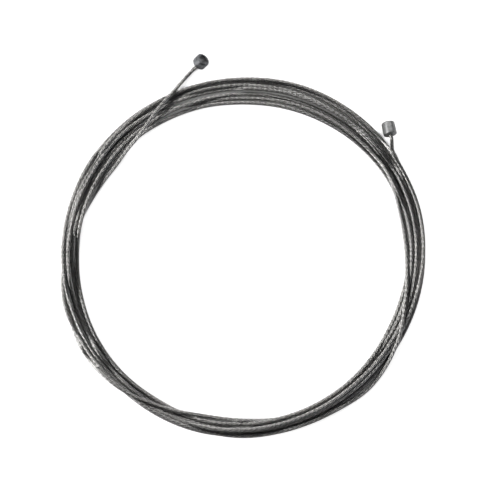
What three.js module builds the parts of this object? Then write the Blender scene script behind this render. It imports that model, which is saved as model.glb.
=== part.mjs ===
// A shift cable for a bicycle, wound for storage: one stranded steel wire with a cast
// head on each end, a wide short one and a narrower longer one.
// Millimetres, +Z up. The coil lies on the plane z = 0 and its axis is vertical.

import * as THREE from 'three';

// Driving dimensions

const WIRE_DIAMETER = 1.2;
const CLEARANCE = 0.3; // between solids that touch on the real cable

// The coil: eight turns, five on the table and three in the grooves between them
const COIL_MIDDLE_RADIUS = 53.9;
const LANE_GAP = 0.12; // between neighbouring turns of the lower row
const LOWER_TURNS = 5;
const UPPER_TURNS = 3;
const COIL_SEGMENTS = 72;
const ARC_STEP = 30; // degrees between the points of a turn's outline

// The heads: length along the wire, and how each one lies. Its middle is given by degrees
// round the coil and millimetres outwards from the middle of the coil's width.
const LARGE_HEAD = {
  diameter: 4.5,
  length: 2.8,
  shoulderEdge: 0.3, // rounding where the side meets the wire's face
  endEdge: 0.5, // rounding where the side meets the free face
  dimpleDiameter: 2.9,
  dimpleDepth: 0.45,
  around: 101.9,
  outwards: 9.57,
  heading: 40, // degrees in plan, from the wire towards the free end
  tilt: 42, // degrees that the free end points up
};
const SMALL_HEAD = {
  diameter: 4.2,
  length: 4.1,
  shoulderEdge: 0.25,
  endEdge: 0.45,
  dimpleDiameter: 1.7,
  dimpleDepth: 0.2,
  around: 41.7,
  outwards: 7.72,
  heading: 100.9,
  tilt: -18,
};
const SOCKET_DEPTH = 1.2; // the wire reaches this far into a head
const HEAD_SEGMENTS = 64;
const WIRE_END_SEGMENTS = 8; // sides of the plain wire tube
const DOME_RISE = 0.12; // crown of the cut wire end in the dimple

// Free ends of the wire, as [degrees round the coil, outwards from the middle of its width,
// height]. Each list starts a little way out of its head. The large end goes over the coil
// and lies down inside it, and the small end stops beside the outer turn.
const LARGE_END_ROUTE = [
  [103.6, 8.6, 0.8],
  [104.5, 8.0, 0.62],
  [105.5, 7.3, 0.62],
  [107.4, 6.1, 0.8],
  [109.5, 4.85, 1.3],
  [111.2, 3.85, 1.85],
  [113.2, 2.75, 2.45],
  [115.4, 1.8, 2.95],
  [118.0, 0.8, 3.25],
  [121.0, -0.4, 3.3],
  [124.4, -1.6, 3.25],
  [128.0, -2.6, 3.1],
  [131.0, -3.3, 2.6],
  [135.0, -3.7, 1.85],
  [139.0, -4.0, 1.3],
  [143.0, -4.2, 0.85],
  [150.0, -4.2, 0.62],
];
const SMALL_END_ROUTE = [
  [39.2, 6.4, 3.35],
  [38.2, 5.75, 3.1],
  [37.15, 5.1, 2.2],
  [35.9, 4.35, 1.5],
  [34.4, 4.2, 1.05],
];
const STRAIGHT_AT_HEAD = 0.3; // the wire leaves a head straight for this far
const STEP_PER_DIAMETER = 2.2; // length of one step of the tube, in diameters

// Helpers

const wireRadius = WIRE_DIAMETER / 2;
const radians = (degrees) => THREE.MathUtils.degToRad(degrees);

// Place beside the coil: degrees round it, outwards from the middle of its width, height
function besideCoil([degrees, outwards, height]) {
  const angle = radians(degrees);
  const radius = COIL_MIDDLE_RADIUS + outwards;
  return new THREE.Vector3(radius * Math.cos(angle), radius * Math.sin(angle), height);
}

// Points on a circle from one angle to another, both included, in steps of about ARC_STEP
function arc(centreX, centreY, radius, from, to) {
  const steps = Math.max(1, Math.round(Math.abs(to - from) / ARC_STEP));
  const points = [];
  for (let i = 0; i <= steps; i += 1) {
    const angle = radians(from + ((to - from) * i) / steps);
    const x = centreX + radius * Math.cos(angle);
    const y = centreY + radius * Math.sin(angle);
    points.push(new THREE.Vector2(x, y));
  }
  return points;
}

function namedMesh(name, geometry, material) {
  const mesh = new THREE.Mesh(geometry, material);
  mesh.name = name;
  return mesh;
}

function strandSteel(name) {
  const material = new THREE.MeshStandardMaterial({ color: 0x8d8b86, roughness: 0.38, metalness: 0.95 });
  material.name = name;
  return material;
}

function castZinc(name, color) {
  const material = new THREE.MeshStandardMaterial({ color, roughness: 0.5, metalness: 0.85 });
  material.name = name;
  return material;
}

// The coil

// Section of the wound turns, as radius and height. The lower row lies flat, the upper
// row sits in its inner grooves, and the outline follows the crown of each turn in sight.
function coilSection() {
  const pitch = WIRE_DIAMETER + LANE_GAP;
  const rowRise = Math.sqrt(WIRE_DIAMETER ** 2 - (pitch / 2) ** 2);
  const innerLane = COIL_MIDDLE_RADIUS - (pitch * (LOWER_TURNS - 1)) / 2;
  const lowerLane = (index) => innerLane + pitch * index;
  const upperLane = (index) => innerLane + pitch * (index + 0.5);
  const upperHeight = wireRadius + rowRise;

  // Where the outline leaves a turn for the next one, in degrees from straight outwards
  const innerMeeting = 120;
  const outerMeeting = 60;
  const rowMeeting = 150;
  const under = 270;

  const outline = arc(lowerLane(0), wireRadius, wireRadius, under, rowMeeting);
  for (let i = 0; i < UPPER_TURNS; i += 1) {
    const from = i === 0 ? rowMeeting : innerMeeting;
    const to = i === UPPER_TURNS - 1 ? 0 : outerMeeting;
    outline.push(...arc(upperLane(i), upperHeight, wireRadius, from, to));
  }
  for (let i = UPPER_TURNS; i < LOWER_TURNS - 1; i += 1) {
    outline.push(...arc(lowerLane(i), wireRadius, wireRadius, 90, outerMeeting));
  }
  const last = lowerLane(LOWER_TURNS - 1);
  outline.push(...arc(last, wireRadius, wireRadius, innerMeeting, under - 360));
  outline.push(outline[0].clone());
  return outline.reverse();
}

function makeCoil() {
  const geometry = new THREE.LatheGeometry(coilSection(), COIL_SEGMENTS);
  geometry.rotateX(Math.PI / 2);
  return namedMesh('cable_coil', geometry, strandSteel('coil_steel'));
}

// The heads

// Half section of a head: distance from the axis and place along it, with 0 at half its
// length and the free end positive. A socket takes the wire, and the free end has a
// dimple in which the cut end of the wire shows as a low crown.
function headProfile(head) {
  const outer = head.diameter / 2;
  const shoulder = -head.length / 2;
  const free = head.length / 2;
  const socket = wireRadius + CLEARANCE;
  const dimple = head.dimpleDiameter / 2;
  const floor = free - head.dimpleDepth;
  return [
    new THREE.Vector2(0, shoulder + SOCKET_DEPTH),
    new THREE.Vector2(socket, shoulder + SOCKET_DEPTH),
    new THREE.Vector2(socket, shoulder),
    ...arc(outer - head.shoulderEdge, shoulder + head.shoulderEdge, head.shoulderEdge, -90, 0),
    ...arc(outer - head.endEdge, free - head.endEdge, head.endEdge, 0, 90),
    new THREE.Vector2(dimple, free),
    new THREE.Vector2(dimple - head.dimpleDepth / 2, floor),
    new THREE.Vector2(wireRadius, floor),
    new THREE.Vector2(wireRadius * 0.7, floor + DOME_RISE * 0.7),
    new THREE.Vector2(0, floor + DOME_RISE),
  ];
}

// Unit vector along a head, from the wire to the free end
function headAxis(head) {
  const heading = radians(head.heading);
  const tilt = radians(head.tilt);
  const level = Math.cos(tilt);
  return new THREE.Vector3(level * Math.cos(heading), level * Math.sin(heading), Math.sin(tilt));
}

// Middle of a head that lies on the table: its lowest edge is at z = 0
function headMiddle(head) {
  const tilt = radians(head.tilt);
  const depths = headProfile(head).map((point) => point.x * Math.cos(tilt) - point.y * Math.sin(tilt));
  return besideCoil([head.around, head.outwards, Math.max(...depths)]);
}

// A point on a head's axis, this far out of its shoulder along the wire
function pointOnWire(head, distance) {
  return headMiddle(head).addScaledVector(headAxis(head), -head.length / 2 - distance);
}

function makeHead(name, head, material) {
  const geometry = new THREE.LatheGeometry(headProfile(head), HEAD_SEGMENTS);
  const mesh = namedMesh(name, geometry, material);
  mesh.quaternion.setFromUnitVectors(new THREE.Vector3(0, 1, 0), headAxis(head));
  mesh.position.copy(headMiddle(head));
  return mesh;
}

// The free ends of the wire

function makeWireEnd(name, head, route) {
  const points = [
    pointOnWire(head, CLEARANCE - SOCKET_DEPTH),
    pointOnWire(head, 0),
    pointOnWire(head, STRAIGHT_AT_HEAD),
    ...route.map(besideCoil),
  ];
  const path = new THREE.CatmullRomCurve3(points, false, 'centripetal');
  const section = new THREE.Shape();
  for (let i = 0; i < WIRE_END_SEGMENTS; i += 1) {
    const angle = ((i + 0.5) * 2 * Math.PI) / WIRE_END_SEGMENTS;
    const x = wireRadius * Math.cos(angle);
    const y = wireRadius * Math.sin(angle);
    if (i === 0) section.moveTo(x, y);
    else section.lineTo(x, y);
  }
  section.closePath();
  const steps = Math.ceil(path.getLength() / (STEP_PER_DIAMETER * WIRE_DIAMETER));
  const options = { steps, bevelEnabled: false, extrudePath: path };
  const geometry = new THREE.ExtrudeGeometry(section, options);
  return namedMesh(name, geometry, strandSteel(`${name}_steel`));
}

// The whole cable

function buildCable() {
  const cable = new THREE.Group();
  cable.add(makeCoil());
  cable.add(makeHead('head_large', LARGE_HEAD, castZinc('large_head_zinc', 0x7d8084)));
  cable.add(makeHead('head_small', SMALL_HEAD, castZinc('small_head_zinc', 0x9a9c9e)));
  cable.add(makeWireEnd('wire_end_large', LARGE_HEAD, LARGE_END_ROUTE));
  cable.add(makeWireEnd('wire_end_small', SMALL_HEAD, SMALL_END_ROUTE));
  return cable;
}

// The origin is on the table, under the middle of the cable's outer box
function centreOnTable(cable) {
  cable.updateMatrixWorld(true);
  const box = new THREE.Box3().setFromObject(cable, true);
  const middle = box.getCenter(new THREE.Vector3());
  cable.position.set(-middle.x, -middle.y, -box.min.z);
  return cable;
}

const group = centreOnTable(buildCable());

export default group;
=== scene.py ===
# %% [markdown]
# # A shift cable, wound for storage
#
# The object is one thin steel cable for a bicycle's gears. It is a strand of many fine
# wires, 1.2 mm thick and about 2.68 m long, with a cast zinc head on each end: a wide
# short one and a narrower one. Somebody wound it by hand into a flat coil a hand wide.
#
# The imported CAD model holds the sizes. It has the coil as one plain ring, two plain tubes
# for the free ends, and the two heads. Here the strand is made turn by turn with its wires,
# and the heads get their cast surface.

import bpy
import numpy as np
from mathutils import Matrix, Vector


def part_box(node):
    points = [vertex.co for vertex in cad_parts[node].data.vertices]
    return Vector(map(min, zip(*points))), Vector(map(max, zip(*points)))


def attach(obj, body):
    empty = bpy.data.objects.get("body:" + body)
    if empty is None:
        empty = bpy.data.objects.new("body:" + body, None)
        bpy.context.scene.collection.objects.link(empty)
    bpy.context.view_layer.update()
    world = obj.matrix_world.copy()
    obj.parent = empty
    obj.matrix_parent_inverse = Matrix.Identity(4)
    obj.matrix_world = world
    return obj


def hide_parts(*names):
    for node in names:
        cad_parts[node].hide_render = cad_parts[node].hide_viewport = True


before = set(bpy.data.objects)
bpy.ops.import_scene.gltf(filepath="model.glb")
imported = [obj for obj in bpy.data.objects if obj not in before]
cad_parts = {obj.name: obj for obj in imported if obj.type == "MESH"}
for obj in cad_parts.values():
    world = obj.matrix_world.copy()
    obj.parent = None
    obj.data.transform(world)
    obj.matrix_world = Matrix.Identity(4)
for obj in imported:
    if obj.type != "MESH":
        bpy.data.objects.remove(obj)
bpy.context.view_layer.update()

MM = 0.001
COIL_BOX = np.array(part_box("cable_coil"))
COIL_AXIS = COIL_BOX.mean(axis=0)[:2]
print("coil axis in the frame, mm:", np.round(COIL_AXIS / MM, 2))

# %% [markdown]
# ## The camera
#
# The photograph looks straight down on the table, so the coil is a true circle in it. A
# long lens from 0.6 m keeps the near and far sides equally large. What fixes the framing
# is one length, the width of a pixel on the table, and one place, the pixel in which the
# coil's axis stands.

# %% Camera over the coil
PIXEL = 0.315 * MM
PHOTO_SIDE = 500
COIL_AXIS_PIXEL = np.array([242.7, 259.1])
CAMERA_HEIGHT = 0.6
CROWNS_HEIGHT = 1.5 * MM  # where the width of a pixel holds
SENSOR = 36.0
CLIP_START = 0.01

picture_middle = np.array([PHOTO_SIDE / 2, PHOTO_SIDE / 2])
across, down = (picture_middle - COIL_AXIS_PIXEL) * PIXEL
camera_data = bpy.data.cameras.new("camera_over_coil")
camera_data.sensor_width = SENSOR
camera_data.lens = SENSOR * (CAMERA_HEIGHT - CROWNS_HEIGHT) / (PHOTO_SIDE * PIXEL)
camera_data.clip_start = CLIP_START
camera = bpy.data.objects.new("camera_over_coil", camera_data)
camera.location = (COIL_AXIS[0] + across, COIL_AXIS[1] - down, CAMERA_HEIGHT)
bpy.context.scene.collection.objects.link(camera)
bpy.context.scene.camera = camera
print("lens, mm:", round(camera_data.lens, 1))

# %% [markdown]
# ## The way the strand lies
#
# The strand starts in the large head, goes over the coil and down inside it, runs round
# nearly eight times and ends in the small head beside the coil. Its free ends are short
# lists of points, the same as in the CAD model: degrees round the coil,
# distance outwards from the middle of its width, and height.
#
# A machine would wind the turns as a spiral. A hand lets them wander, so that one slips
# under its neighbours here and climbs over them there, and this is what makes the coil
# look wound and not turned on a lathe. So each turn is a row of lanes, one every
# 15 degrees, and a row of digits that says how high it lies among the others there:
# 0 is the lowest and 9 the highest. A loop makes smooth turns from the rows.

# %% The free ends, as in the CAD model
STRAND_DIAMETER = 1.2 * MM
COIL_MIDDLE_RADIUS = 53.9 * MM
IN_SCENE = np.array([1.0, MM, MM])

LARGE_END_ROUTE = IN_SCENE * [
    [103.6, 8.6, 0.8],
    [104.5, 8.0, 0.62],
    [105.5, 7.3, 0.62],
    [107.4, 6.1, 0.8],
    [109.5, 4.85, 1.3],
    [111.2, 3.85, 1.85],
    [113.2, 2.75, 2.45],
    [115.4, 1.8, 2.95],
    [118.0, 0.8, 3.25],
    [121.0, -0.4, 3.3],
    [124.4, -1.6, 3.25],
    [128.0, -2.6, 3.1],
    [131.0, -3.3, 2.6],
    [135.0, -3.7, 1.85],
    [139.0, -4.0, 1.3],
    [143.0, -4.2, 0.85],
    [150.0, -4.2, 0.62],
]
SMALL_END_ROUTE = IN_SCENE * [
    [34.4, 4.2, 1.05],
    [35.9, 4.35, 1.5],
    [37.15, 5.1, 2.2],
    [38.2, 5.75, 3.1],
    [39.2, 6.4, 3.35],
]
print("points of the free ends:", len(LARGE_END_ROUTE), "and", len(SMALL_END_ROUTE))

# %% The turns: lanes from the coil's axis, mm, and their order in height
FIRST_STATION = 150
STATION_STEP = 15
TURN_LANES = [
    [50.2, 52.4, 56.1, 57.9, 56.7, 55.7, 55.4, 55.4, 55.8, 55.6, 55.9, 57.0,
     55.5, 52.9, 51.7, 51.7, 53.0, 53.4, 52.9, 52.4, 52.0, 51.7, 51.9, 52.1],
    [52.2, 52.2, 52.2, 52.3, 52.4, 52.3, 52.0, 52.4, 51.9, 51.5, 51.3, 51.2,
     51.1, 51.5, 52.4, 52.6, 52.3, 51.4, 50.4, 49.7, 49.3, 49.7, 50.2, 51.1],
    [51.4, 52.3, 54.5, 57.0, 57.9, 56.1, 53.2, 51.0, 50.8, 51.8, 51.8, 51.8,
     52.1, 52.7, 53.2, 53.4, 53.1, 52.5, 51.8, 51.2, 50.7, 50.9, 53.1, 53.4],
    [53.5, 53.6, 53.6, 53.5, 53.5, 53.3, 53.1, 53.1, 53.1, 53.1, 53.1, 53.1,
     53.2, 53.6, 53.9, 54.2, 54.3, 54.5, 54.8, 54.9, 54.8, 54.8, 55.2, 55.3],
    [55.4, 55.3, 55.3, 55.1, 55.0, 54.8, 54.6, 54.4, 54.2, 54.1, 53.9, 54.1,
     54.4, 54.8, 55.5, 56.1, 56.5, 56.4, 56.4, 56.3, 55.9, 55.9, 56.5, 56.7],
    [56.9, 56.8, 56.4, 55.9, 55.3, 55.0, 54.6, 54.2, 53.6, 53.0, 52.7, 52.8,
     53.4, 54.1, 54.7, 55.3, 55.3, 55.0, 54.5, 54.1, 53.7, 53.7, 54.1, 54.8],
    [54.7, 54.9, 54.8, 54.5, 54.1, 53.8, 53.7, 53.8, 53.9, 53.8, 53.5, 53.9,
     54.4, 55.5, 56.8, 57.6, 57.6, 57.8, 57.6, 57.3, 56.7, 56.5, 56.3, 56.0],
    [55.8, 55.6, 55.6, 55.8, 55.9, 55.8, 55.9, 55.9, 55.5, 55.3, 55.2, 55.3,
     55.7, 56.4, 57.0, 57.2, 57.5],
]
TURN_ORDER = [
    "000888655559999431113777",
    "788877677777521211544441",
    "111199988225555577766224",
    "444431000000001123555511",
    "112211111122234555553345",
    "577765555555556666665445",
    "555666433333467777777556",
    "44222244444444420",
]
for lanes, order in zip(TURN_LANES, TURN_ORDER):
    assert len(lanes) == len(order)
print("turns:", round(sum(len(lanes) for lanes in TURN_LANES) * STATION_STEP / 360, 2))


# %% A smooth line through a few chosen values
def smooth_through(places, values, wanted):
    """Cubic pieces between the chosen places. Each piece leaves a place with the slope of
    the chosen values around it, so the line has no corners."""
    slopes = np.gradient(values, places)
    piece = np.clip(np.searchsorted(places, wanted, side="right") - 1, 0, len(places) - 2)
    gap = places[piece + 1] - places[piece]
    t = (wanted - places[piece]) / gap
    start = (1 + 2 * t) * (1 - t) ** 2 * values[piece] + t * (1 - t) ** 2 * gap * slopes[piece]
    end = t**2 * (3 - 2 * t) * values[piece + 1] - t**2 * (1 - t) * gap * slopes[piece + 1]
    return start + end


step_places = np.array([0.0, 1.0, 2.0, 3.0])
step_values = np.array([0.0, 0.0, 1.0, 1.0])
on_the_way = smooth_through(step_places, step_values, np.array([1.25, 1.5, 1.75]))
print("a smooth step on its way from 0 to 1:", np.round(on_the_way, 3))

# %% [markdown]
# ## Where the heads are
#
# A head is a small barrel on the strand's axis. The strand is cast into it, so the place
# and slant of the head also fix how the strand leaves it. Both are the CAD model's values:
# the large head leans on the rim round its wire with its free end up, and the small head
# lies on the edge of its free end, with the strand coming down to it from above.

# %% Heads: sizes, places and slants
LARGE_HEAD = {
    "diameter": 4.5 * MM,
    "length": 2.8 * MM,
    "around": 101.9,
    "outwards": 9.57 * MM,
    "heading": 40.0,
    "tilt": 42.0,
    "shoulder_edge": 0.3 * MM,
    "end_edge": 0.5 * MM,
    "dimple_radius": 1.45 * MM,
    "dimple_depth": 0.45 * MM,
    "crown": 0.14 * MM,
}
SMALL_HEAD = {
    "diameter": 4.2 * MM,
    "length": 4.1 * MM,
    "around": 41.7,
    "outwards": 7.72 * MM,
    "heading": 100.9,
    "tilt": -18.0,
    "shoulder_edge": 0.25 * MM,
    "end_edge": 0.45 * MM,
    "dimple_radius": 0.85 * MM,
    "dimple_depth": 0.2 * MM,
    "crown": 0.1 * MM,
}
SOCKET_DEPTH = 1.2 * MM
SOCKET_GAP = 0.3 * MM
STRAIGHT_AT_HEAD = 0.3 * MM


def head_axis(head):
    """Unit vector along the head, from its wire to its free end."""
    heading, tilt = np.radians([head["heading"], head["tilt"]])
    level = np.cos(tilt)
    return np.array([level * np.cos(heading), level * np.sin(heading), np.sin(tilt)])


def head_middle(head):
    """The point on the axis at half the length: in plan from the place beside the coil, and
    in height so that the lower rounded edge just touches the table."""
    angle, tilt = np.radians([head["around"], head["tilt"]])
    radius = COIL_MIDDLE_RADIUS + head["outwards"]
    edge = head["shoulder_edge"] if tilt > 0 else head["end_edge"]
    outer, half = head["diameter"] / 2 - edge, head["length"] / 2 - edge
    height = outer * np.cos(tilt) + half * abs(np.sin(tilt)) + edge
    x = COIL_AXIS[0] + radius * np.cos(angle)
    y = COIL_AXIS[1] + radius * np.sin(angle)
    return np.array([x, y, height])


def strand_at_head(head):
    """Three points of the strand: in the socket, at the head's face, and straight out of it,
    as degrees round the coil, radius and height."""
    along = -head["length"] / 2 + np.array([SOCKET_DEPTH - SOCKET_GAP, 0.0, -STRAIGHT_AT_HEAD])
    points = head_middle(head) + along[:, None] * head_axis(head)
    across = points[:, :2] - COIL_AXIS
    angles = np.degrees(np.arctan2(across[:, 1], across[:, 0]))
    return np.column_stack([angles, np.hypot(across[:, 0], across[:, 1]), points[:, 2]])


print("large head's strand, degrees, m, m:\n", np.round(strand_at_head(LARGE_HEAD), 4))
print("small head's strand, degrees, m, m:\n", np.round(strand_at_head(SMALL_HEAD), 4))

# %% [markdown]
# ## Turns that lie on each other
#
# The lanes say where a turn runs in plan. Its height follows from what is under it: two
# round strands whose lanes are closer than a diameter touch when their axes are one
# diameter apart, so the upper one is higher by the other side of that right triangle. At
# each of 240 directions round the coil the turns are taken from the lowest to the highest
# of their order, and each one is set down on those before it. The large head's free end
# lies on top of all, and the small head's lifts the turn that crosses over it. Then every
# turn is smoothed along its length, because a steel strand bends in long low humps.

# %% Lanes and order on a fine ring of directions
FINE_STEP = 1.5
PER_TURN = round(360 / FINE_STEP)
TURNS = len(TURN_LANES)

radii = np.concatenate([np.array(lanes) * MM for lanes in TURN_LANES])
order = np.concatenate([[int(digit) for digit in digits] for digits in TURN_ORDER])
stations = FIRST_STATION + STATION_STEP * np.arange(len(radii))

all_round = 360 * TURNS
from_coil_axis = [0, COIL_MIDDLE_RADIUS, 0]
large_route = (LARGE_END_ROUTE + from_coil_axis)[:-1]
small_route = SMALL_END_ROUTE + from_coil_axis
free_in = np.concatenate([strand_at_head(LARGE_HEAD), large_route])
free_out = np.concatenate([small_route, strand_at_head(SMALL_HEAD)[::-1]])
free_out[:, 0] += all_round
plan_places = np.concatenate([free_in[:, 0], stations, free_out[:, 0]])
plan_radii = np.concatenate([free_in[:, 1], radii, free_out[:, 1]])
assert np.all(np.diff(plan_places) > 0)

FINE_START = 105.0
FINE_END = all_round + 36.0
ON_TOP = 9.5
ON_TOP_UNTIL = 143.0
fine = np.arange(FINE_START, FINE_END + FINE_STEP / 2, FINE_STEP)
lane = smooth_through(plan_places, plan_radii, fine)
rank_places = np.concatenate([[FINE_START, ON_TOP_UNTIL], stations])
rank = np.interp(fine, rank_places, np.concatenate([[ON_TOP, ON_TOP], order]))
print("directions:", len(fine))


# %% Set the turns down on each other
ROWS = TURNS + 1
FIRST_COLUMN = round((FINE_START - FIRST_STATION + 360) / FINE_STEP)
NO_LANE = 1.0
NO_RANK = 99.0
ROW_TIE_BREAK = 0.001
BELL_REACHES = 3


def as_turns(values, filler):
    """One long row of values, cut into a row for each time round. The large free end is in
    a row before the first turn."""
    padded = np.full(PER_TURN * ROWS, filler)
    padded[FIRST_COLUMN : FIRST_COLUMN + len(values)] = values
    return padded.reshape(ROWS, PER_TURN)


def smoothed(values, reach):
    """Mean of each value and its neighbours, weighted by a bell curve."""
    margin = BELL_REACHES * reach
    steps = np.arange(-margin, margin + 1)
    weights = np.exp(-0.5 * (steps / reach) ** 2)
    longer = np.concatenate([np.full(margin, values[0]), values, np.full(margin, values[-1])])
    return np.convolve(longer, weights / weights.sum(), mode="valid")


def set_down(lanes, ranks, heights):
    """In each direction, from the lowest rank up, a turn rests at least on the table and on
    each turn before it: higher by the root of diameter squared less distance squared. Of two
    equal ranks, the later turn is the upper one."""
    by_rank = np.argsort(ranks + np.arange(ROWS)[:, None] * ROW_TIE_BREAK, axis=0)
    columns = np.arange(PER_TURN)
    result = heights.copy()
    for upper in range(ROWS):
        above = by_rank[upper]
        for lower in range(upper):
            below = by_rank[lower]
            apart = lanes[above, columns] - lanes[below, columns]
            rise = np.sqrt(np.maximum(STRAND_DIAMETER**2 - apart**2, 0))
            rest = np.where(rise > 0, result[below, columns] + rise, 0)
            result[above, columns] = np.maximum(result[above, columns], rest)
    return result


SETTLING_REACHES = (2, 2, 2, 1, 1)
SLACK = 0.1 * MM
lane_turns = as_turns(lane, NO_LANE)
rank_turns = as_turns(rank, NO_RANK)
on_table = np.full(len(stations), STRAND_DIAMETER / 2)
least_at_places = np.concatenate([free_in[:, 2], on_table, free_out[:, 2]])
least = np.interp(fine, plan_places, least_at_places)
height = least
for done, reach in enumerate(SETTLING_REACHES, start=1):
    settled = set_down(lane_turns, rank_turns, as_turns(height, STRAND_DIAMETER / 2))
    height = smoothed(settled.ravel()[FIRST_COLUMN : FIRST_COLUMN + len(fine)], reach)
    height = np.maximum(least, height - SLACK * (len(SETTLING_REACHES) - done))
    height = np.where(fine > stations[-1], least, height)
print("coil height, mm:", round((height.max() + STRAND_DIAMETER / 2) / MM, 2))

# %% [markdown]
# ## The centre line of the whole strand
#
# Plan and height now come together as one line from head to head. It is sampled again at
# equal steps of its own length, because the wires' twist is counted along the strand. The
# length that comes out is the cable's real length.

# %% One line from head to head
LINE_STEP = 1.05 * MM
DENSE_PER_PLACE = 24

before = free_in[free_in[:, 0] < fine[0]]
after = free_out[free_out[:, 0] > fine[-1]]
height_places = np.concatenate([before[:, 0], fine, after[:, 0]])
heights = np.concatenate([before[:, 2], height, after[:, 2]])
dense = np.linspace(plan_places[0], plan_places[-1], DENSE_PER_PLACE * len(plan_places))
dense_radius = smooth_through(plan_places, plan_radii, dense)
dense_height = np.maximum(smooth_through(height_places, heights, dense), STRAND_DIAMETER / 2)
dense_points = np.column_stack([
    COIL_AXIS[0] + dense_radius * np.cos(np.radians(dense)),
    COIL_AXIS[1] + dense_radius * np.sin(np.radians(dense)),
    dense_height,
])
dense_steps = np.linalg.norm(np.diff(dense_points, axis=0), axis=1)
run = np.concatenate([[0], np.cumsum(dense_steps)])
strand_length = run[-1]
line_steps = round(strand_length / LINE_STEP)
distance = np.linspace(0, strand_length, line_steps + 1)
centre_line = np.column_stack([np.interp(distance, run, values) for values in dense_points.T])
print("strand length, m:", round(strand_length, 3), "in", line_steps, "steps")

# %% [markdown]
# ## The strand's wires
#
# A strand for gears has a core and a ring of wires round it that show. A smooth tube with a
# bumpy material would keep a straight edge, and the real edge is beaded, so the wires are
# in the mesh. Nine wires outside, turning once in 14.4 mm, repeat the beads as the
# photograph has them, one in every 1.6 mm. The section is the outline of nine circles that
# touch, with four points to a wire: crown, flank, groove, flank. It turns as it is carried
# along the line. The points turn with it, so each wire stays one smooth ridge.

# %% Strand section, twisted and carried along the line
OUTER_WIRES = 9
POINTS_PER_WIRE = 4
WIRE_RADIUS = 0.153 * MM
WIRE_CIRCLE = STRAND_DIAMETER / 2 - WIRE_RADIUS
LAY_LENGTH = 14.4 * MM
AROUND = OUTER_WIRES * POINTS_PER_WIRE


def wire_outline(phase):
    """Distance from the strand's axis to the outline of the outer wires, at a phase of 0 on
    a wire's crown and 0.5 in the groove: the far side of a small circle about the crown."""
    angle = phase * 2 * np.pi / OUTER_WIRES
    inside = np.maximum(WIRE_RADIUS**2 - (WIRE_CIRCLE * np.sin(angle)) ** 2, 0)
    return WIRE_CIRCLE * np.cos(angle) + np.sqrt(inside)


def frame_along(line):
    """Level side and upper normal at each point of a line that is never upright."""
    tangent = np.gradient(line, axis=0)
    tangent /= np.linalg.norm(tangent, axis=1, keepdims=True)
    side = np.cross(tangent, [0.0, 0.0, 1.0])
    side /= np.linalg.norm(side, axis=1, keepdims=True)
    return side, np.cross(side, tangent)


def strand_grid(line, travelled):
    """Grid of points: for each point of the line, the section's outline turned by one turn
    in each lay length."""
    column = np.arange(AROUND)
    phase = column / POINTS_PER_WIRE
    from_crown = np.abs(phase - np.round(phase))
    reach = wire_outline(from_crown)
    angle = column * 2 * np.pi / AROUND + travelled[:, None] * 2 * np.pi / LAY_LENGTH
    side, normal = frame_along(line)
    spoke = np.cos(angle)[..., None] * side[:, None] + np.sin(angle)[..., None] * normal[:, None]
    return line[:, None] + spoke * reach[None, :, None]


strand_points = strand_grid(centre_line, distance)
print("grid:", strand_points.shape)


# %% From a grid of points to a closed mesh with its own map
def grid_faces(rows, columns):
    """Four corners of each cell of a grid whose columns close into a ring."""
    row, column = np.meshgrid(np.arange(rows - 1), np.arange(columns), indexing="ij")
    beside = (column + 1) % columns
    this_row, next_row = row * columns, (row + 1) * columns
    corners = [this_row + column, this_row + beside, next_row + beside, next_row + column]
    return np.stack(corners, axis=-1).reshape(-1, 4)


def tube_mesh(name, grid, map_u, map_v):
    """Mesh of a grid that closes round its columns, with a fan of triangles over each end.
    map_u counts round the section and map_v along it, for the materials."""
    rows, columns, _ = grid.shape
    ends = np.array([grid[0].mean(axis=0), grid[-1].mean(axis=0)])
    points = np.concatenate([grid.reshape(-1, 3), ends])
    sides = grid_faces(rows, columns)
    ring = np.arange(columns)
    first, last = rows * columns, rows * columns + 1
    start_fan = np.column_stack([np.full(columns, first), (ring + 1) % columns, ring])
    last_ring = (rows - 1) * columns + ring
    end_fan = np.column_stack([np.full(columns, last), last_ring, np.roll(last_ring, -1)])
    faces = sides.tolist() + start_fan.tolist() + end_fan.tolist()
    mesh = bpy.data.meshes.new(name)
    mesh.from_pydata(points.tolist(), [], faces)

    cell_u = np.stack([map_u[:-1], map_u[1:], map_u[1:], map_u[:-1]], axis=-1)
    cell_v = np.stack([map_v[:-1], map_v[:-1], map_v[1:], map_v[1:]], axis=-1)
    u = np.broadcast_to(cell_u[None], (rows - 1, columns, 4)).reshape(-1)
    v = np.broadcast_to(cell_v[:, None], (rows - 1, columns, 4)).reshape(-1)
    fans = np.zeros(2 * columns * 3)
    layer = mesh.uv_layers.new(name="piece_map")
    layer.data.foreach_set("uv", np.column_stack([np.append(u, fans), np.append(v, fans)]).ravel())
    mesh.polygons.foreach_set("use_smooth", np.ones(len(mesh.polygons), dtype=bool))
    mesh.update()
    return mesh


def add_piece(name, mesh):
    """A new object at the origin, unturned and unscaled."""
    piece = bpy.data.objects.new(name, mesh)
    bpy.context.scene.collection.objects.link(piece)
    return piece


wire_count = np.arange(AROUND + 1) / POINTS_PER_WIRE
strand = add_piece("strand", tube_mesh("strand", strand_points, wire_count, distance / MM))
print("strand faces:", len(strand.data.polygons))

# %% [markdown]
# ## The cast heads
#
# Each head is cast round the strand's end: a barrel with a socket at the wire, edges that
# the mould leaves round, and at the free end a dimple with the cut strand in it. It could
# be a cylinder with bevels, but one profile turned round the axis holds all of it, and the
# casting's faults can ride on the same two parameters: a thin seam where the mould's halves
# met, a little unroundness, and shallow hollows.

# %% Profile of a head, turned round its axis
HEAD_AROUND = 128
LIP = 0.1 * MM
CAST_CLEARANCE = 0.06 * MM
CUT_EDGE = 0.05 * MM
SEAM_HEIGHT = 0.03 * MM
SEAM_SPREAD = 0.05
BARREL_FROM = 0.75  # shares of the radius: below the first the head is true to its profile
BARREL_BLEND = 0.2


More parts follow.
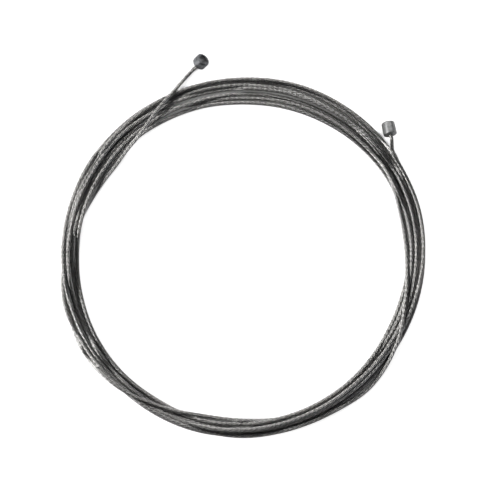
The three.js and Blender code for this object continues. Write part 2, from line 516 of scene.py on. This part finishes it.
def corner(centre, radius, start, stop, points=9):
    """Round corner of a profile, from one direction to another in degrees."""
    angle = np.radians(np.linspace(start, stop, points))
    return np.column_stack([centre[0] + radius * np.cos(angle), centre[1] + radius * np.sin(angle)])


def head_profile(head):
    """Distance from the axis and place along it, from the bottom of the wire's socket over
    the barrel to the cut end of the strand in the dimple."""
    outer, half = head["diameter"] / 2, head["length"] / 2
    strand_radius = STRAND_DIAMETER / 2
    socket = strand_radius + CAST_CLEARANCE
    near, far = head["shoulder_edge"], head["end_edge"]
    dimple, crown = head["dimple_radius"], head["crown"]
    floor = half - head["dimple_depth"]
    return np.concatenate([
        [[socket, -half + SOCKET_DEPTH]],
        corner((socket + LIP, -half + LIP), LIP, 180, 270, 5),
        corner((outer - near, -half + near), near, -90, 0),
        corner((outer - far, half - far), far, 0, 90),
        corner((dimple + LIP, half - LIP), LIP, 90, 180, 5),
        corner((dimple - LIP, floor + LIP), LIP, 0, -90, 5),
        [[strand_radius + CUT_EDGE, floor]],
        [[strand_radius - CUT_EDGE, floor + 0.6 * crown]],
        [[strand_radius / 2, floor + crown]],
    ])


def head_grid(head, profile, seam_angle, wobble):
    """The profile turned round the axis. The outer quarter of the radius swells and shrinks a
    little in two and three waves round the head, and a low seam stands out on both sides."""
    angle = np.linspace(0, 2 * np.pi, HEAD_AROUND, endpoint=False)
    radius, along = profile[:, :1], profile[:, 1:]
    outer, half = head["diameter"] / 2, head["length"] / 2
    on_barrel = np.clip((radius / outer - BARREL_FROM) / BARREL_BLEND, 0, 1)
    swell = wobble * (np.sin(2 * angle + 0.7) + 0.7 * np.sin(3 * angle + 4 * along / half))
    from_seam = np.abs((angle - np.radians(seam_angle) + np.pi / 2) % np.pi - np.pi / 2)
    seam = SEAM_HEIGHT * np.exp(-((from_seam / SEAM_SPREAD) ** 2))
    reach = radius + on_barrel * (swell + seam)
    axis = head_axis(head)
    side = np.cross(axis, [0.0, 0.0, 1.0])
    side /= np.linalg.norm(side)
    normal = np.cross(side, axis)
    spoke = np.cos(angle)[:, None] * side + np.sin(angle)[:, None] * normal
    on_axis = head_middle(head) + along[:, :, None] * axis
    return on_axis + reach[..., None] * spoke


def along_profile(profile):
    """Millimetres along the profile to each of its points, from the first one."""
    steps = np.linalg.norm(np.diff(profile, axis=0), axis=1)
    return np.concatenate([[0], np.cumsum(steps)]) / MM


def dimple_begins(head):
    """Where the profile leaves the free face for the dimple, in millimetres along it."""
    profile = head_profile(head)
    on_face = np.isclose(profile[:, 1], head["length"] / 2)
    return float(along_profile(profile)[on_face][-1])


def head_piece(name, head, seam_angle, wobble):
    """A closed head with its map: turns round the axis, and millimetres along the profile."""
    profile = head_profile(head)
    grid = head_grid(head, profile, seam_angle, wobble)
    turns_round = np.arange(HEAD_AROUND + 1) / HEAD_AROUND
    return add_piece(name, tube_mesh(name, grid, turns_round, along_profile(profile)))


large_head = head_piece("large_head_cast", LARGE_HEAD, 75, 0.02 * MM)
small_head = head_piece("small_head_cast", SMALL_HEAD, 20, 0.012 * MM)
print("head faces:", len(large_head.data.polygons), len(small_head.data.polygons))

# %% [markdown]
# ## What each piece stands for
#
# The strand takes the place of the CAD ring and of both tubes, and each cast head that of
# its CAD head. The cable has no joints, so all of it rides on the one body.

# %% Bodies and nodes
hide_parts("cable_coil", "wire_end_large", "wire_end_small")
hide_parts("head_large")
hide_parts("head_small")
pieces_and_slots = [
    (strand, "strand_steel"),
    (large_head, "large_head_zinc"),
    (small_head, "small_head_zinc"),
]
for piece, slot in pieces_and_slots:
    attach(piece, "root")

# %% [markdown]
# ## Steel and zinc
#
# Both finishes are bare metal, so most of what is seen is reflection. What tells them apart
# is the surface. The strand's wires were drawn through dies, so they are bright along their
# crowns, and their grooves are painted nearly black as shade. The heads are cast, so they are
# duller and bluish, with a grain of shallow spots, and their dimples are painted darker as shade.

# %% Node helpers
def new_material(name):
    """A material with its Principled shader, ready for links."""
    material = bpy.data.materials.new(name)
    material.use_nodes = True
    nodes = material.node_tree.nodes
    return material, nodes, material.node_tree.links, nodes["Principled BSDF"]


def math_node(nodes, links, operation, first, second=None, clamp=False):
    """One step of arithmetic with one or two values, each a number or a node's output."""
    node = nodes.new("ShaderNodeMath")
    node.operation = operation
    node.use_clamp = clamp
    for socket, value in zip(node.inputs, (first, second)):
        if value is None:
            continue
        if isinstance(value, (int, float)):
            socket.default_value = value
        else:
            links.new(value, socket)
    return node.outputs[0]


def noise_node(nodes, links, vector, scale, detail):
    """Smooth random spots, from 0 to 1."""
    node = nodes.new("ShaderNodeTexNoise")
    node.inputs["Scale"].default_value = scale
    node.inputs["Detail"].default_value = detail
    links.new(vector, node.inputs["Vector"])
    return node.outputs["Fac"]


def map_parts(nodes, links):
    """The two numbers of a piece's own map: round the section, and along it."""
    layer = nodes.new("ShaderNodeUVMap")
    layer.uv_map = "piece_map"
    parts = nodes.new("ShaderNodeSeparateXYZ")
    links.new(layer.outputs["UV"], parts.inputs["Vector"])
    return layer.outputs["UV"], parts.outputs["X"], parts.outputs["Y"]


def bump_node(nodes, links, height, strength, distance):
    """A normal that is tilted by a height, as deep as the distance."""
    bump = nodes.new("ShaderNodeBump")
    bump.inputs["Strength"].default_value = strength
    bump.inputs["Distance"].default_value = distance
    links.new(height, bump.inputs["Height"])
    return bump.outputs["Normal"]


def blend_node(nodes, links, factor, first, second):
    """Mix of two colours by a factor."""
    node = nodes.new("ShaderNodeMix")
    node.data_type = "RGBA"
    links.new(factor, node.inputs["Factor"])
    for socket, value in ((node.inputs["A"], first), (node.inputs["B"], second)):
        if isinstance(value, tuple):
            socket.default_value = (*value, 1)
        else:
            links.new(value, socket)
    return node.outputs["Result"]


print("helpers:", [made.__name__ for made in (math_node, noise_node, map_parts, bump_node, blend_node)])


# %% Strand steel: bright crowns, grooves painted dark as shade
GROOVE_FROM = 0.3
GROOVE_STEEPNESS = 5.0
MARKS_SCALE = 260.0
GRAIN_SCALE = 4.0
GRAIN_STRETCH = (6.0, 0.25, 1.0)
STEEL_DULL = (0.455, 0.44, 0.415)
STEEL_CLEAN = (0.59, 0.585, 0.57)
STEEL_DRAWN = (0.66, 0.66, 0.67)
# painted shade: nearly black colour in the grooves between the wires
PAINTED_GROOVE_SHADE = (0.045, 0.042, 0.038)
STEEL_ROUGHNESS = 0.18
DULL_ROUGHER = 0.08
GROOVE_ROUGHER = 0.3


def make_strand_steel():
    """Colour and roughness from the map: the phase across a wire gives the groove, which is
    painted nearly black as shade; slow spots along the strand give handling marks, and fine ones give the
    drawn grain."""
    material, nodes, links, shader = new_material("strand_steel")
    both, across_wires, _ = map_parts(nodes, links)
    whole = math_node(nodes, links, "ROUND", across_wires)
    offset = math_node(nodes, links, "SUBTRACT", across_wires, whole)
    from_crown = math_node(nodes, links, "ABSOLUTE", offset)
    past_flank = math_node(nodes, links, "SUBTRACT", from_crown, GROOVE_FROM)
    groove = math_node(nodes, links, "MULTIPLY", past_flank, GROOVE_STEEPNESS, True)

    place = nodes.new("ShaderNodeTexCoord").outputs["Object"]
    marks = noise_node(nodes, links, place, MARKS_SCALE, 3.0)
    stretched = nodes.new("ShaderNodeMapping")
    stretched.inputs["Scale"].default_value = GRAIN_STRETCH
    links.new(both, stretched.inputs["Vector"])
    grain = noise_node(nodes, links, stretched.outputs["Vector"], GRAIN_SCALE, 4.0)

    handled = blend_node(nodes, links, marks, STEEL_DULL, STEEL_CLEAN)
    drawn = blend_node(nodes, links, grain, handled, STEEL_DRAWN)
    # painted shade: the groove turns the colour nearly black
    colour = blend_node(nodes, links, groove, drawn, PAINTED_GROOVE_SHADE)
    links.new(colour, shader.inputs["Base Color"])
    shader.inputs["Metallic"].default_value = 1.0

    from_marks = math_node(nodes, links, "MULTIPLY", marks, DULL_ROUGHER)
    from_groove = math_node(nodes, links, "MULTIPLY", groove, GROOVE_ROUGHER)
    rough = math_node(nodes, links, "ADD", from_marks, STEEL_ROUGHNESS)
    rougher = math_node(nodes, links, "ADD", rough, from_groove)
    links.new(rougher, shader.inputs["Roughness"])
    links.new(bump_node(nodes, links, grain, 0.25, 0.02 * MM), shader.inputs["Normal"])
    return material


strand.data.materials.append(make_strand_steel())
print("strand material:", strand.data.materials[0].name)


# %% Cast zinc: one node group, placed twice
SPOTS_SCALE = 1100.0
SPOTS_FROM = 0.36
SPOTS_STEEPNESS = 3.4
PITS_SCALE = 4200.0
PITS_SHARE = 0.35
PITS_ROUGHER = 0.25
DIMPLE_SHADE_STEEPNESS = 3.0
# painted shade: darker tones for the dimple's recess
PAINTED_DIMPLE_SHADE = ((0.1, 0.1, 0.105), (0.23, 0.23, 0.24))


def cast_zinc_group():
    """Cast surface from a place on the piece: spots a fraction of a millimetre wide for the
    colour, finer ones for the roughness, and both together as the height."""
    group = bpy.data.node_groups.new("cast_surface", "ShaderNodeTree")
    interface = group.interface
    interface.new_socket("Place", in_out="INPUT", socket_type="NodeSocketVector")
    interface.new_socket("Spots", in_out="OUTPUT", socket_type="NodeSocketFloat")
    interface.new_socket("Pits", in_out="OUTPUT", socket_type="NodeSocketFloat")
    interface.new_socket("Height", in_out="OUTPUT", socket_type="NodeSocketFloat")
    nodes, links = group.nodes, group.links
    place = nodes.new("NodeGroupInput").outputs["Place"]
    spots = noise_node(nodes, links, place, SPOTS_SCALE, 3.0)
    pits = noise_node(nodes, links, place, PITS_SCALE, 2.0)
    brighter = math_node(nodes, links, "SUBTRACT", spots, SPOTS_FROM)
    contrast = math_node(nodes, links, "MULTIPLY", brighter, SPOTS_STEEPNESS, True)
    from_pits = math_node(nodes, links, "MULTIPLY", pits, PITS_SHARE)
    height = math_node(nodes, links, "ADD", spots, from_pits)
    result = nodes.new("NodeGroupOutput")
    links.new(contrast, result.inputs["Spots"])
    links.new(pits, result.inputs["Pits"])
    links.new(height, result.inputs["Height"])
    return group


def make_cast_zinc(name, group, tones, roughness, relief, dimple_shade_from):
    """Zinc with its own two tones, its roughness and how deep its spots are. From a place
    along the profile on, in the dimple, the colour is painted darker as shade."""
    material, nodes, links, shader = new_material(name)
    surface = nodes.new("ShaderNodeGroup")
    surface.node_tree = group
    links.new(nodes.new("ShaderNodeTexCoord").outputs["Object"], surface.inputs["Place"])
    _, _, along = map_parts(nodes, links)
    # painted shade: past the dimple's edge the colour turns darker, as shade in the recess
    past_edge = math_node(nodes, links, "SUBTRACT", along, dimple_shade_from)
    dimple_shade = math_node(nodes, links, "MULTIPLY", past_edge, DIMPLE_SHADE_STEEPNESS, True)
    cast_tone = blend_node(nodes, links, surface.outputs["Spots"], *tones)
    shaded_tone = blend_node(nodes, links, surface.outputs["Spots"], *PAINTED_DIMPLE_SHADE)
    links.new(blend_node(nodes, links, dimple_shade, cast_tone, shaded_tone), shader.inputs["Base Color"])
    shader.inputs["Metallic"].default_value = 1.0
    from_pits = math_node(nodes, links, "MULTIPLY", surface.outputs["Pits"], PITS_ROUGHER)
    rough = math_node(nodes, links, "ADD", from_pits, roughness)
    links.new(rough, shader.inputs["Roughness"])
    normal = bump_node(nodes, links, surface.outputs["Height"], 0.6, relief)
    links.new(normal, shader.inputs["Normal"])
    return material


cast_surface = cast_zinc_group()
large_zinc = make_cast_zinc(
    "large_head_zinc",
    cast_surface,
    tones=((0.12, 0.125, 0.135), (0.36, 0.37, 0.39)),
    roughness=0.32,
    relief=0.14 * MM,
    dimple_shade_from=dimple_begins(LARGE_HEAD),
)
small_zinc = make_cast_zinc(
    "small_head_zinc",
    cast_surface,
    tones=((0.24, 0.245, 0.25), (0.38, 0.385, 0.39)),
    roughness=0.34,
    relief=0.05 * MM,
    dimple_shade_from=dimple_begins(SMALL_HEAD),
)
large_head.data.materials.append(large_zinc)
small_head.data.materials.append(small_zinc)
print("zinc materials:", large_zinc.name, small_zinc.name)

# %% [markdown]
# ## Table and light
#
# The photograph has a pure white ground. The table adds white of its own for the camera,
# and less of it for the metal's reflections, where it lies open, and stays dark in the gaps
# between turns. The light comes from two long windows, one beyond the top of the picture
# and one at its left, about 40 degrees high. So every strand has one bright line on its
# upper or left side, wherever it runs round the coil, and its lower right side is dark but
# for a faint cool light.

# %% White table that keeps the shadow
TABLE_SIDE = 6.0
ADDED_WHITE = 0.85
MIRROR_SHARE = 0.4
GAP_REACH = 3 * MM
EDGE_OPENNESS = 0.42
CORE_MORE_OPENNESS = 0.35
CORE_HALF_WIDTH = 1.9 * MM
CORE_BLEND = 0.4 * MM
CAMERA_STEEPNESS = 12.0
MIRROR_OPENNESS = 0.75
MIRROR_STEEPNESS = 5.0


def make_table_white():
    """A lit white surface that adds some white for rays from the camera and from mirrors.
    It adds none in the gaps between turns, where hardly any room is open above: the limit
    of openness is higher in the coil's core, which is all gaps, than at its edges. Mirror
    rays find the white only where the cable doesn't stand close."""
    material, nodes, links, shader = new_material("table_white")
    shader.inputs["Base Color"].default_value = (0.8, 0.8, 0.8, 1)
    shader.inputs["Roughness"].default_value = 0.9
    openness = nodes.new("ShaderNodeAmbientOcclusion")
    openness.inputs["Distance"].default_value = GAP_REACH

    centred = nodes.new("ShaderNodeMapping")
    centred.inputs["Location"].default_value = (-COIL_AXIS[0], -COIL_AXIS[1], 0)
    links.new(nodes.new("ShaderNodeTexCoord").outputs["Object"], centred.inputs["Vector"])
    radius = nodes.new("ShaderNodeVectorMath")
    radius.operation = "LENGTH"
    links.new(centred.outputs["Vector"], radius.inputs[0])
    from_middle = math_node(nodes, links, "SUBTRACT", radius.outputs["Value"], COIL_MIDDLE_RADIUS)
    off_middle = math_node(nodes, links, "ABSOLUTE", from_middle)
    to_edge = math_node(nodes, links, "SUBTRACT", CORE_HALF_WIDTH, off_middle)
    core = math_node(nodes, links, "DIVIDE", to_edge, CORE_BLEND, True)
    core_more = math_node(nodes, links, "MULTIPLY", core, CORE_MORE_OPENNESS)
    limit = math_node(nodes, links, "ADD", core_more, EDGE_OPENNESS)

    def where_open(least, steepness):
        """From 0 to 1 as the openness rises past a limit."""
        above = math_node(nodes, links, "SUBTRACT", openness.outputs["AO"], least)
        return math_node(nodes, links, "MULTIPLY", above, steepness, True)

    path = nodes.new("ShaderNodeLightPath")
    glossy, transmitted = path.outputs["Is Glossy Ray"], path.outputs["Is Transmission Ray"]
    mirror = math_node(nodes, links, "MAXIMUM", glossy, transmitted)
    to_camera = where_open(limit, CAMERA_STEEPNESS)
    camera_white = math_node(nodes, links, "MULTIPLY", path.outputs["Is Camera Ray"], to_camera)
    to_mirrors = where_open(MIRROR_OPENNESS, MIRROR_STEEPNESS)
    mirror_white = math_node(nodes, links, "MULTIPLY", mirror, to_mirrors)
    in_mirrors = math_node(nodes, links, "MULTIPLY", mirror_white, MIRROR_SHARE)
    seen = math_node(nodes, links, "MAXIMUM", camera_white, in_mirrors)
    links.new(math_node(nodes, links, "MULTIPLY", seen, ADDED_WHITE), shader.inputs["Emission Strength"])
    shader.inputs["Emission Color"].default_value = (1, 1, 1, 1)
    return material


table_corners = np.array([(-0.5, -0.5, 0), (0.5, -0.5, 0), (0.5, 0.5, 0), (-0.5, 0.5, 0)]) * TABLE_SIDE
table_mesh = bpy.data.meshes.new("table")
table_mesh.from_pydata(table_corners.tolist(), [], [(0, 1, 2, 3)])
table_mesh.materials.append(make_table_white())
table = add_piece("table", table_mesh)
print("table:", TABLE_SIDE, "m, white added:", ADDED_WHITE, "and in mirrors:", ADDED_WHITE * MIRROR_SHARE)

# %% World: plain light, and white where nothing is
ROOM_COLOUR = (0.95, 0.97, 1.0, 1)
ROOM_STRENGTH = 0.03

world = bpy.data.worlds.new("studio")
bpy.context.scene.world = world
world.use_nodes = True
world_nodes, world_links = world.node_tree.nodes, world.node_tree.links
world_nodes.clear()
room = world_nodes.new("ShaderNodeBackground")
room.inputs["Color"].default_value = ROOM_COLOUR
room.inputs["Strength"].default_value = ROOM_STRENGTH
backdrop = world_nodes.new("ShaderNodeBackground")
backdrop.inputs["Color"].default_value = (1, 1, 1, 1)
chosen = world_nodes.new("ShaderNodeMixShader")
rays = world_nodes.new("ShaderNodeLightPath")
surroundings = world_nodes.new("ShaderNodeOutputWorld")
world_links.new(rays.outputs["Is Camera Ray"], chosen.inputs["Fac"])
world_links.new(room.outputs["Background"], chosen.inputs[1])
world_links.new(backdrop.outputs["Background"], chosen.inputs[2])
world_links.new(chosen.outputs["Shader"], surroundings.inputs["Surface"])
bpy.context.scene.view_settings.view_transform = "Standard"
print("light from the room:", ROOM_STRENGTH)


# %% Lamps
def add_lamp(name, place, width, height, power, colour):
    """A soft lamp of two sides that looks at the middle of the table."""
    data = bpy.data.lights.new(name, "AREA")
    data.shape = "RECTANGLE"
    data.size = width
    data.size_y = height
    data.energy = power
    data.color = colour
    lamp = bpy.data.objects.new(name, data)
    lamp.location = place
    lamp.rotation_euler = (-Vector(place)).to_track_quat("-Z", "Y").to_euler()
    bpy.context.scene.collection.objects.link(lamp)
    return lamp


DAYLIGHT = (1.0, 0.99, 0.97)
SHADE = (0.9, 0.94, 1.0)
add_lamp("window_beyond_top", (-0.05, 1.1, 0.85), 2.2, 0.34, 11.5, DAYLIGHT)
add_lamp("window_left", (-1.1, 0.05, 0.84), 1.6, 0.58, 15.0, DAYLIGHT)
add_lamp("fill_lower_right", (0.8, -0.75, 0.35), 0.5, 0.5, 0.5, SHADE)
